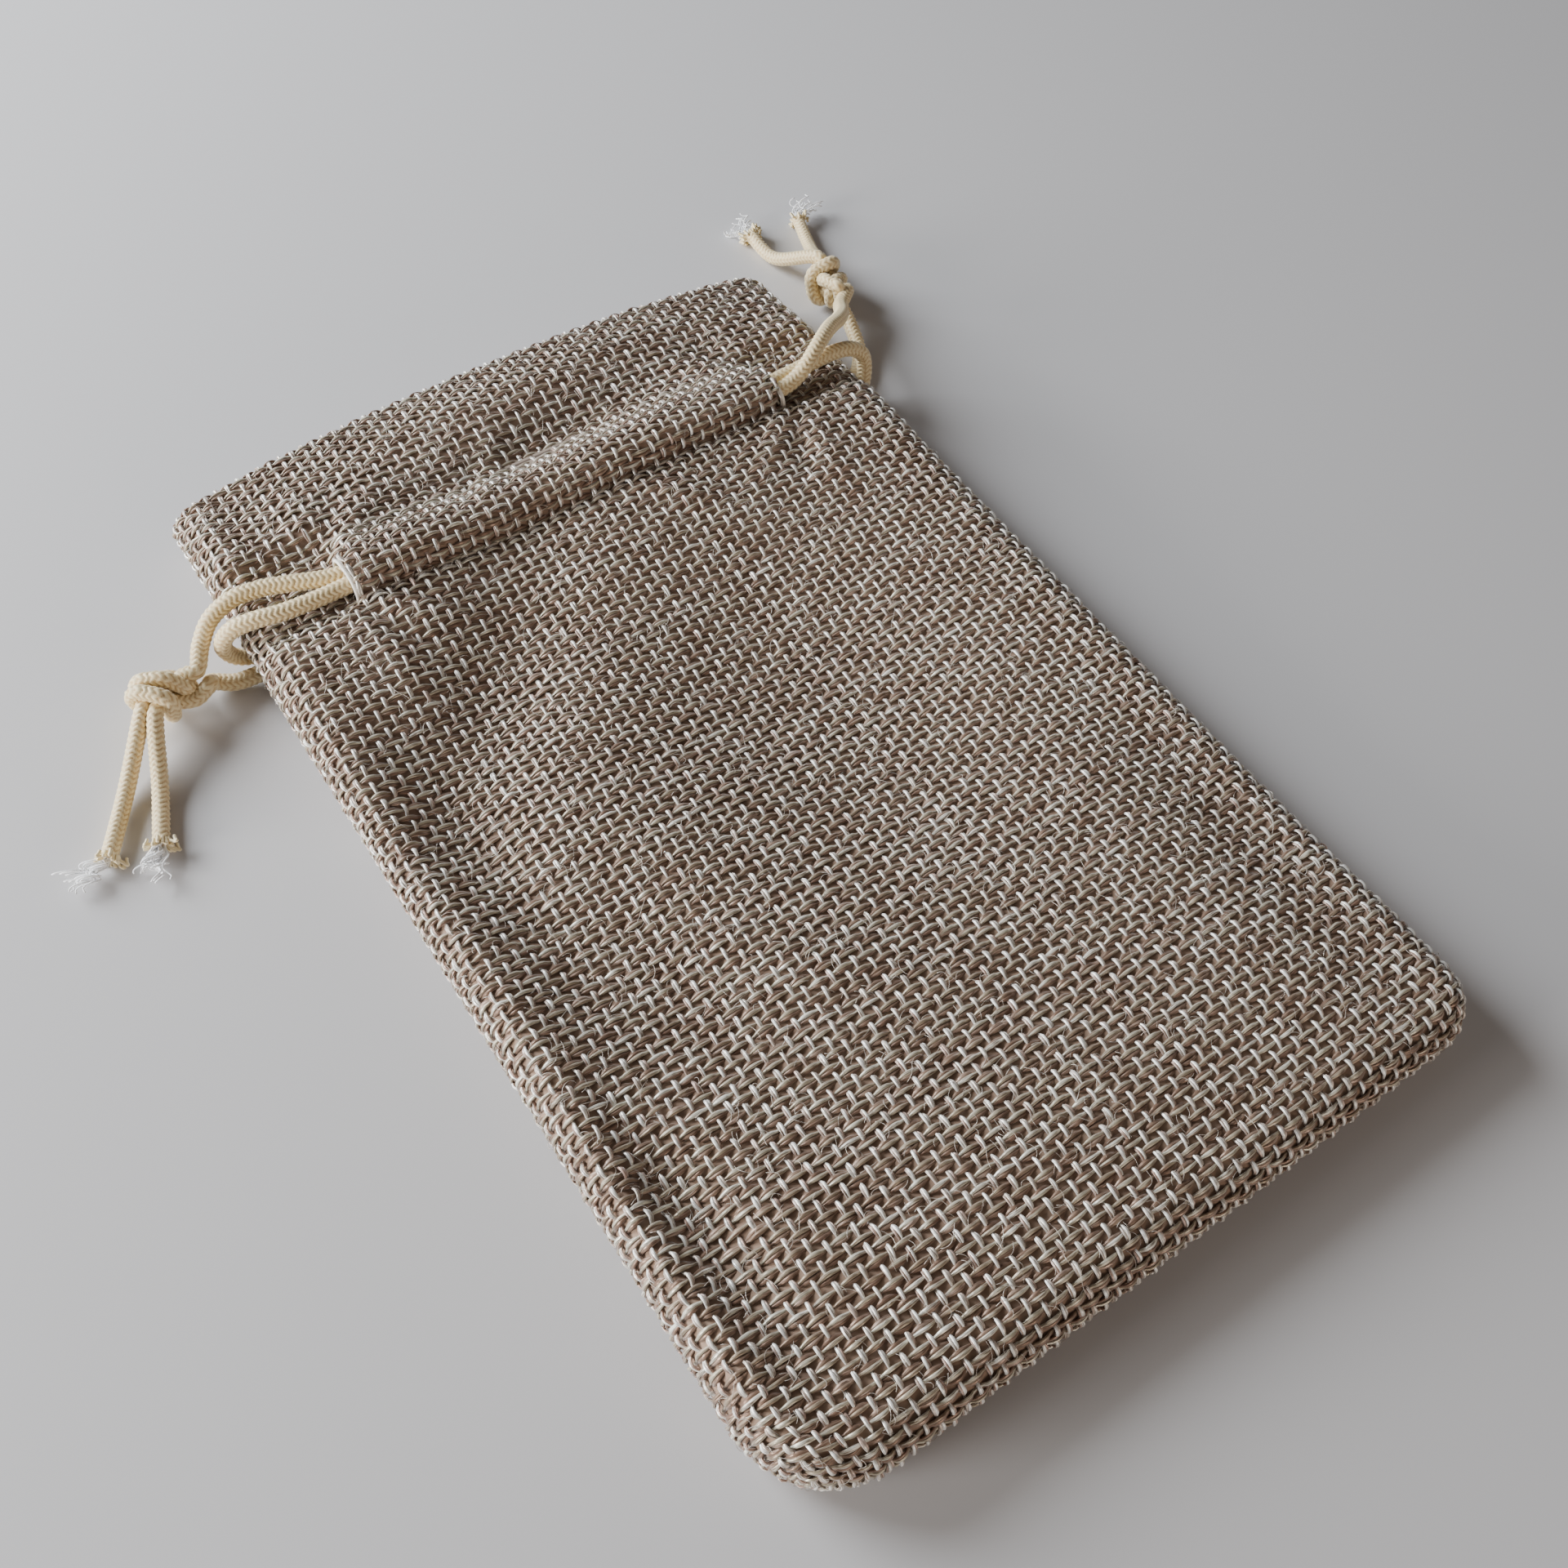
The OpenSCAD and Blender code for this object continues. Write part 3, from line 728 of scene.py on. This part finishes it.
def tight_knot(d, reach, excess, n=96, steps=1600):
    """Two strands of a cord tied together in an overhand knot and pulled tight, until each is only the
    excess longer than the knot's reach to both sides. They come in at x = -reach, one above the other,
    and leave at x = reach, one beside the other."""
    t = np.linspace(-2.35, 2.35, 400)
    middle = np.stack([(t**5 - 10 * t) * 0.55, (t**4 - 4 * t**2) * 1.9, (t**3 - 3 * t) * 3.0], 1)
    tangent = unit(np.gradient(middle, axis=0))
    side = np.array([0.0, 0.0, 1.0])
    sides = []
    for q in tangent:
        side = unit(side - side @ q * q)
        sides.append(side)
    strands = [spaced(middle + s * 0.55 * d * np.array(sides), n) for s in (1, -1)]
    if strands[0][-1, 0] < 0:
        strands = [s * np.array([-1, 1, -1]) for s in strands]
    ends = [
        (np.array([-reach, 0, s * d / 2]), np.array([reach, s * d * 0.6, 0])) for s in (1, -1)
    ]
    order = np.concatenate([np.arange(n), np.arange(n) + 10 * n])
    goal = 2 * reach + excess
    for k in range(steps):
        for strand, (first, last) in zip(strands, ends):
            pull = 0.5 * np.clip((path_length(strand) / goal - 1) / 0.08, 0.06, 1)
            strand[1:-1] += pull * (0.5 * (strand[:-2] + strand[2:]) - strand[1:-1])
            strand[0] += 0.05 * (first - strand[0])
            strand[-1] += 0.05 * (last - strand[-1])
        points = np.concatenate(strands)
        apart = points[:, None] - points[None]
        far = np.sqrt((apart**2).sum(-1)) + 1e-9
        step = np.linalg.norm(np.diff(strands[0], axis=0), axis=1).mean()
        near = np.abs(order[:, None] - order[None]) <= math.ceil(1.3 * d / step)
        push = np.where((far < d) & ~near, (d - far) / far * 0.5, 0)
        count = np.maximum(1, 0.5 * (push > 0).sum(1))
        points += (apart * push[..., None]).sum(1) / count[:, None]
        strands = [points[:n].copy(), points[n:].copy()]
        if k % 20 == 19:
            strands = [spaced(s, n) for s in strands]
    return strands


def place_knot(strands, centre, along, roll):
    """The knot turned so that its strands leave along the direction, with its middle at the centre."""
    forward = unit(np.array(along, float))
    side = unit(np.cross([0, 0, 1], forward))
    up = np.cross(forward, side)
    c, s = math.cos(roll), math.sin(roll)
    axes = np.stack([forward, c * side + s * up, c * up - s * side])
    core = np.concatenate([p[np.abs(p[:, 0]) < 4.2] for p in strands])
    middle = (core.min(0) + core.max(0)) / 2
    bulk = np.linalg.norm((core - middle)[:, 1:], axis=1) > 2
    middle[0] = core[bulk, 0].mean()
    placed = []
    for p in strands:
        first = np.argmax(p[:, 0] > -KNOT_REACH)
        last = len(p) - np.argmax(p[::-1, 0] < KNOT_REACH)
        placed.append((p[first:last:3] - middle) @ axes + centre)
    return placed


def cord_frames(path):
    tangent = unit(np.gradient(path, axis=0))
    side = unit(np.cross(tangent[0], [0.2, 0.3, 1.0]))
    sides = []
    for q in tangent:
        side = unit(side - side @ q * q)
        sides.append(side)
    sides = np.array(sides)
    return sides, np.cross(tangent, sides)


CORD_LIT = np.array([0.90, 0.76, 0.47])


def cord_piece(name, path, radius):
    """A braided cord along the path, with columns of slanting ribs round it as a knitted cover has, and
    painted shade in the valleys between the ribs.
    """
    sides_n = 32
    columns = 5
    lay = 0.74
    side, up = cord_frames(path)
    s = np.concatenate([[0], np.cumsum(np.linalg.norm(np.diff(path, axis=0), axis=1))])
    turn = 2 * np.pi * np.arange(sides_n) / sides_n
    place = turn[None, :] / (2 * np.pi) * columns % 1
    slant = np.abs(2 * place - 1)
    rib = np.abs(np.sin(math.pi * (s[:, None] / lay + 0.75 * slant))) ** 0.8
    groove = np.abs(np.sin(2 * math.pi * place)) ** 0.5
    rib = rib * (0.55 + 0.45 * groove)
    r = radius[:, None] * (0.87 + 0.19 * rib)
    rings = path[:, None] + r[..., None] * (
        np.cos(turn)[None, :, None] * side[:, None] + np.sin(turn)[None, :, None] * up[:, None]
    )
    # Painted shade: the cream's share drops in the rib valleys and grooves, so the nylon's darker brown
    # shows there
    colours = np.empty((1, *rib.shape, 4))
    colours[..., :3] = CORD_LIT
    colours[..., 3] = 0.05 + 0.95 * np.clip(rib * 1.2, 0, 1)
    rings = rings[None]
    return ring_mesh(name, rings, colours, fibre_places(rings, math.pi * CORD_D), NYLON)


LEFT_ROUTE = [
    (-53.3, 53.1, 6.6), (-50.8, 54.6, 8.6), (-47.2, 55.0, 10.0),
    (-43.5, 54.4, 10.3), (-39.5, 53.0, 10.3), (-36, 51.7, 10.2), (-33, 51.1, 10.2),
    (-22, 51.2, 10.2), (-11, 51.3, 10.2), (0, 51.35, 10.2), (11, 51.35, 10.2),
    (22, 51.2, 10.2), (33, 51.0, 10.2), (40, 51.2, 10.3), (45.5, 51.3, 10.4),
    (48.8, 51.2, 9.7), (50.8, 50.9, 8.0), (51.1, 50.3, 5.6), (50.3, 49.5, 3.4),
    (48.6, 48.8, 2.2), (44, 48.65, 2.1), (33, 48.65, 2.1), (22, 48.65, 2.1),
    (0, 48.65, 2.1), (-22, 48.65, 2.1), (-33, 48.65, 2.1), (-44, 48.65, 2.1),
    (-48.5, 48.9, 1.7), (-51.6, 49.6, 1.4), (-54.0, 50.7, 2.0),
]
RIGHT_ROUTE = [
    (56, 63.4, 6.2), (53.6, 60, 8), (50.6, 57, 10.2),
    (47, 54.4, 12.2), (44, 52.2, 13.1), (41.5, 50.6, 13), (39, 49.4, 12.1),
    (36.5, 48.95, 10.9), (33, 48.95, 10.2), (22, 48.8, 10.2), (11, 48.7, 10.2),
    (0, 48.7, 10.2), (-11, 48.7, 10.2), (-22, 48.8, 10.2), (-33, 49.0, 10.2),
    (-38, 48.9, 10.3), (-43, 49.3, 10.3), (-46.6, 50.2, 10.1), (-49.2, 51.0, 9.2),
    (-50.6, 51.6, 7.4), (-50.9, 52.0, 5.2), (-50.0, 52, 3.2), (-47.8, 51.6, 2.2),
    (-45, 51.35, 2.1), (-33, 51.35, 2.1), (-22, 51.35, 2.1), (0, 51.35, 2.1),
    (22, 51.35, 2.1), (33, 51.35, 2.1), (44, 51.35, 2.1), (48.5, 51.8, 1.8),
    (52.5, 53.6, 1.5), (55.4, 57, 1.6), (57.2, 61.5, 2.2), (58.3, 66, 3.2),
]
LEFT_TAILS = [
    [(-69.6, 41, 1.6), (-75, 33, 1.3)],
    [(-66, 39, 1.6), (-69, 31.5, 1.3)],
]
RIGHT_TAILS = [
    [(63.6, 82.5, 1.6), (66, 89, 1.3)],
    [(56.8, 83, 1.6), (57, 90, 1.3)],
]
CORD_STEP = 0.14
KNOT_REACH = 4.4
# The cord is squeezed thin where it's tied: the knot is tied in this thickness and then shrunk
TIED_D = 1.95
TIED_SHRINK = 0.86


def drawstring(name, route, tails, knot):
    """The whole cord: a tail, the knot, the round of the casings, the knot again and the other tail."""
    points = tails[1][::-1] + [tuple(p) for p in knot[0][::-1]]
    points += route + [tuple(p) for p in knot[1]] + tails[0]
    path = smooth_path(points, CORD_STEP)
    s = np.arange(len(path)) * CORD_STEP
    from_end = np.minimum(s, s[-1] - s)
    knot_middle = np.mean([*knot[0], *knot[1]], axis=0)
    from_knot = np.linalg.norm(path - knot_middle, axis=1)
    radius = CORD_D / 2 * (0.86 + 0.08 * smooth((from_end - 20) / 10) * smooth((from_knot - 4.5) / 3))
    return cord_piece(name, path, radius), path


def tuft(name, end, run, sweep, core_n=18, cover_n=16):
    """The frayed end: white crimped fibres of the core in a few locks, and curled ends of the cover."""
    run = unit(np.array(run, float))
    side = unit(np.cross(run, [0, 0, 1]))
    up = np.cross(side, run)
    m, k = 30, 5
    n = core_n + cover_n
    t = np.linspace(0, 1, m)[None, :]
    core = (np.arange(n) < core_n)[:, None]
    lock = rng.integers(0, 5, n)
    length = np.where(core, rng.uniform(4.6, 7.0, 5)[lock][:, None] * rng.uniform(0.8, 1, (n, 1)), 2.4)
    start_r = np.where(core, 0.6, 0.95) * np.sqrt(rng.uniform(0.05, 1, (n, 1)))
    cover_a = np.arange(n)[:, None] * 2 * np.pi / cover_n
    start_a = np.where(core, rng.uniform(0, 2 * np.pi, (n, 1)), cover_a)
    lean = np.where(core, rng.normal(sweep, 0.25, 5)[lock][:, None] + rng.normal(0, 0.1, (n, 1)), 0)
    lift = np.where(core, rng.normal(0.05, 0.14, 5)[lock][:, None] + rng.normal(0, 0.05, (n, 1)), 0)
    curl = np.where(core, rng.uniform(0.45, 0.8, 5)[lock][:, None], 0) * rng.uniform(0.8, 1.2, (n, 1))
    waves = rng.uniform(2.0, 3.0, 5)[lock][:, None] + rng.normal(0, 0.08, (n, 1))
    phase = rng.uniform(0, 2 * np.pi, 5)[lock][:, None] + rng.normal(0, 0.6, (n, 1))
    spread = np.where(core, 1, 1 + 1.5 * smooth(t * 1.6) - 0.45 * smooth(2 * t - 1))
    x = t * length * (1 - 0.35 * np.abs(lean)) - 0.8
    x = np.where(core, x, 1.1 * np.sin(math.pi * 0.95 * t) - 0.6 + rng.normal(0, 0.15, (n, 1)))
    grow = smooth(t * 1.5)
    wave = waves * t * 2 * np.pi + phase
    y = start_r * spread * np.cos(start_a) + lean * length * t**1.5 + curl * grow * np.sin(wave)
    z = start_r * spread * np.sin(start_a) + lift * length * t**1.5 + 0.5 * curl * grow * np.cos(wave)
    centres = end + x[..., None] * run + y[..., None] * side + z[..., None] * up
    centres[..., 2] = np.maximum(centres[..., 2], 0.14)
    out = np.broadcast_to(np.array([0.1, 0.2, 1.0]), centres.shape)
    width = np.where(core, 0.27 * (1 - 0.3 * t), 0.42)
    rings = section_rings(centres, out, width, width, k)
    white = np.array([0.99, 0.99, 1.0])
    colours = np.where(core[..., None], white, CORD_LIT)[:, :, None, :] * np.ones((n, m, 1, 1))
    return ring_mesh(name, rings, colours, fibre_places(rings, 0.6), CORE)


def add_drawstring(side, knot, route, tails, centre, along, roll, sweeps):
    """A cord with its knot, led out of it along the given direction, and its two frayed ends."""
    placed = place_knot(knot, centre, along, roll)
    cord, path = drawstring(side + "_cord", route, tails, placed)
    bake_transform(cord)
    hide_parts(side + "_drawstring", side + "_knot", side + "_outer_tail", side + "_inner_tail")
    for label, line in zip(("outer", "inner"), tails):
        end = np.array(line[-1])
        piece = tuft(side + "_" + label + "_tuft", end, end - np.array(line[-2]), sweeps[label])
        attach(piece, side + "_tails")
        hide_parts(side + "_" + label + "_fray")


# ---- Thread ------------------------------------------------------------------------

# Distances of the casing's rows from the foot of the ridge and from the mouth's crease
LOWER_ROW = 2.05
UPPER_ROW = 2.0
THREAD_COLOUR = np.array([0.50, 0.43, 0.35])
TACK_COLOUR = np.array([0.98, 0.93, 0.84])


def thread_tubes(name, centres, d, colour):
    """Round threads along centre lines (threads, points, 3)."""
    out = np.broadcast_to(np.array([0.03, 0.05, 1.0]), centres.shape)
    rings = section_rings(centres, out, d, d, 8)
    colours = np.broadcast_to(colour, rings.shape)
    return ring_mesh(name, rings, colours, fibre_places(rings, math.pi * d), THREAD)


def stitches_on_cloth(name, side, v, length=2.5, pitch=3.4, d=0.34):
    """A row of stitches along the casing, each dipping into the cloth at both ends."""
    n = int(2 * SLIT_X / pitch)
    t = np.linspace(0, 1, 14)[None, :]
    u = -SLIT_X + (np.arange(n)[:, None] + 0.14) * pitch + t * length
    vv = v + wander(n, 14, 30, 0.08)
    out = facing_out(cloth, u, vv, side)
    lift = 0.36 - 0.6 * (2 * np.abs(t - 0.5)) ** 4
    centres = cloth(u, vv, side) + out * lift[..., None]
    return thread_tubes(name, centres, d, THREAD_COLOUR)


def seam_stitches(name, start, end, length=2.4, pitch=3.4, d=0.3):
    """A straight row of stitches on a seam allowance, inside the pouch."""
    start, end = np.array(start, float), np.array(end, float)
    run = unit(end - start)
    n = int(np.linalg.norm(end - start) / pitch)
    t = np.linspace(0, 1, 12)[None, :]
    s = (np.arange(n)[:, None] + 0.1) * pitch + t * length
    lift = 0.12 - 0.35 * (2 * np.abs(t - 0.5)) ** 4
    centres = start + s[..., None] * run + lift[..., None] * np.array([0, 0, 1.0])
    return thread_tubes(name, centres, d, THREAD_COLOUR)


def tack(name, x, turns=2):
    """A loop of thread that holds the end of the casing round the two cords."""
    t = np.linspace(0, 1, 90)
    half = (TACK_HIGH[1] - TACK_LOW[1]) / 2 - 0.25
    lines = []
    for i in range(turns):
        angle = math.pi * (t * 1.06 - 0.03)
        y = CASING_Y - half * np.sign(np.cos(angle)) * np.abs(np.cos(angle)) ** 0.75
        z = TACK_LOW[2] - 0.5 + (TACK_HIGH[2] - TACK_LOW[2] + 0.35) * np.abs(np.sin(angle)) ** 0.6
        wave = 0.12 * np.sin(5 * t + 2 * i)
        lines.append(np.stack([x + 0.36 * (i - 0.5) + wave, y + 0.05 * i, z - 0.08 * i], 1))
    return thread_tubes(name, np.array(lines), 0.48, TACK_COLOUR)


# ---- Hidden layers -----------------------------------------------------------------


# How far a seam allowance keeps from the cloth's rolled sides and round corners
SEAM_INSET = np.array([0.9, 3.5, 0])


def inner_layer(node, waves=0.05):
    """A thin, slightly wavy layer of cloth in the place of a hidden hem or seam allowance."""
    name = node + "_cloth"
    low, high = box_mm(node)
    if "seam" in node:
        low, high = low + SEAM_INSET, high - SEAM_INSET * np.array([1, 0, 1])
    nx, ny = int((high[0] - low[0]) / 1.5) + 2, int((high[1] - low[1]) / 1.5) + 2
    x, y = np.meshgrid(np.linspace(low[0], high[0], nx), np.linspace(low[1], high[1], ny))
    half = (high[2] - low[2]) / 2
    z = low[2] + half + waves * np.sin(x / 3.1) * np.sin(y / 2.7)
    top = np.stack([x, y, z + 0.6 * half], -1).reshape(-1, 3)
    under = np.stack([x, y, z - 0.6 * half], -1).reshape(-1, 3)
    index = np.arange(x.size).reshape(x.shape)
    quads = np.stack([index[:-1, :-1], index[:-1, 1:], index[1:, 1:], index[1:, :-1]], -1)
    quads = quads.reshape(-1, 4)
    rim = np.concatenate([index[0, :-1], index[:-1, -1], index[-1, :0:-1], index[:0:-1, 0]])
    rim_next = np.roll(rim, -1)
    walls = np.stack([rim + x.size, rim_next + x.size, rim_next, rim], -1)
    faces = quads.tolist() + (quads[:, ::-1] + x.size).tolist() + walls.tolist()
    mesh = bpy.data.meshes.new(name)
    mesh.from_pydata((np.concatenate([top, under]) * MM).tolist(), [], faces)
    mesh.materials.append(LINING)
    obj = bpy.data.objects.new(name, mesh)
    bpy.context.collection.objects.link(obj)
    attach(obj, "pouch")
    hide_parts(node)


def lining_material():
    """The weave as colour only, for layers that are hidden inside."""
    material, shader = plain_material("lining", (0.3, 0.24, 0.19), 0.75)
    tree = material.node_tree
    coords = tree.nodes.new("ShaderNodeTexCoord")
    brick = tree.nodes.new("ShaderNodeTexBrick")
    brick.offset = 0.5
    brick.inputs["Scale"].default_value = 1
    brick.inputs["Brick Width"].default_value = 2 * WARP_PITCH * MM
    brick.inputs["Row Height"].default_value = WEFT_PITCH * MM
    brick.inputs["Mortar Size"].default_value = 0.3 * MM
    brick.inputs["Mortar Smooth"].default_value = 1
    brick.inputs["Color1"].default_value = (0.42, 0.34, 0.28, 1)
    brick.inputs["Color2"].default_value = (0.30, 0.235, 0.19, 1)
    brick.inputs["Mortar"].default_value = (0.12, 0.085, 0.065, 1)
    tree.links.new(coords.outputs["Object"], brick.inputs["Vector"])
    tree.links.new(brick.outputs["Color"], shader.inputs["Base Color"])
    return material


LINING = lining_material()


# ---- The scene ---------------------------------------------------------------------

add_camera()
add_floor()
add_world((1.0, 0.92, 0.86), 0.115)
add_area("key", (-0.34, 0.55, 0.32), (0, 0, 0), 0.42, 10.6, (0.895, 0.95, 1.0))
add_area("side", (-0.58, 0.08, 0.10), (-0.03, 0.02, 0), 0.26, 5.5, (1.0, 0.985, 0.965))
add_area("bounce", (0.05, -0.58, 0.09), (0, -0.05, 0), 0.3, 1.2, (1.0, 0.86, 0.74))

tied = [TIED_SHRINK * strand for strand in tight_knot(TIED_D, reach=7.5, excess=18)]
add_drawstring(
    "left", tied, LEFT_ROUTE, LEFT_TAILS, LEFT_KNOT,
    along=(-0.94, -0.34, 0), roll=0.0, sweeps={"outer": 0.5, "inner": 0.05},
)
add_drawstring(
    "right", tied, RIGHT_ROUTE, RIGHT_TAILS, RIGHT_KNOT,
    along=(0.05, 1, 0), roll=1.4, sweeps={"outer": 0.2, "inner": -0.3},
)

front = cloth_side("front", 1)
back = cloth_side("back", -1)

for piece in front["body"] + back["body"] + back["head"]:
    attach(piece, "pouch")
for piece in front["head"]:
    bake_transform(piece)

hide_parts("front_panel", "front_casing")
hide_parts("back_panel", "back_casing")
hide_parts("front_heading", "front_facing")
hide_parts("back_heading", "back_facing")

for node in (
    "front_casing_lining", "back_casing_lining", "left_seam_allowance",
    "right_seam_allowance", "bottom_seam_allowance",
):
    inner_layer(node)

rows = {
    "front_casing_stitches": join(
        "casing_rows",
        [
            stitches_on_cloth("row", 1, V_RIDGE + LOWER_ROW),
            stitches_on_cloth("row", 1, V_HINGE - UPPER_ROW),
        ],
    ),
    "back_casing_stitches": stitches_on_cloth("back_row", -1, V_HINGE - UPPER_ROW),
}
for node in ("left_seam_stitches", "right_seam_stitches", "bottom_seam_stitches"):
    low, high = box_mm(node)
    middle = (low + high) / 2
    upright = high[1] - low[1] > high[0] - low[0]
    start = (middle[0], low[1], middle[2]) if upright else (low[0], middle[1], middle[2])
    end = (middle[0], high[1], middle[2]) if upright else (high[0], middle[1], middle[2])
    rows[node] = seam_stitches(node + "_thread", start, end)
rows["left_exit_tack"] = tack("left_tack_thread", -SLIT_X - 0.1)
rows["right_exit_tack"] = tack("right_tack_thread", SLIT_X + 0.1)
for node, piece in rows.items():
    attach(piece, "pouch")
    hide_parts(node)
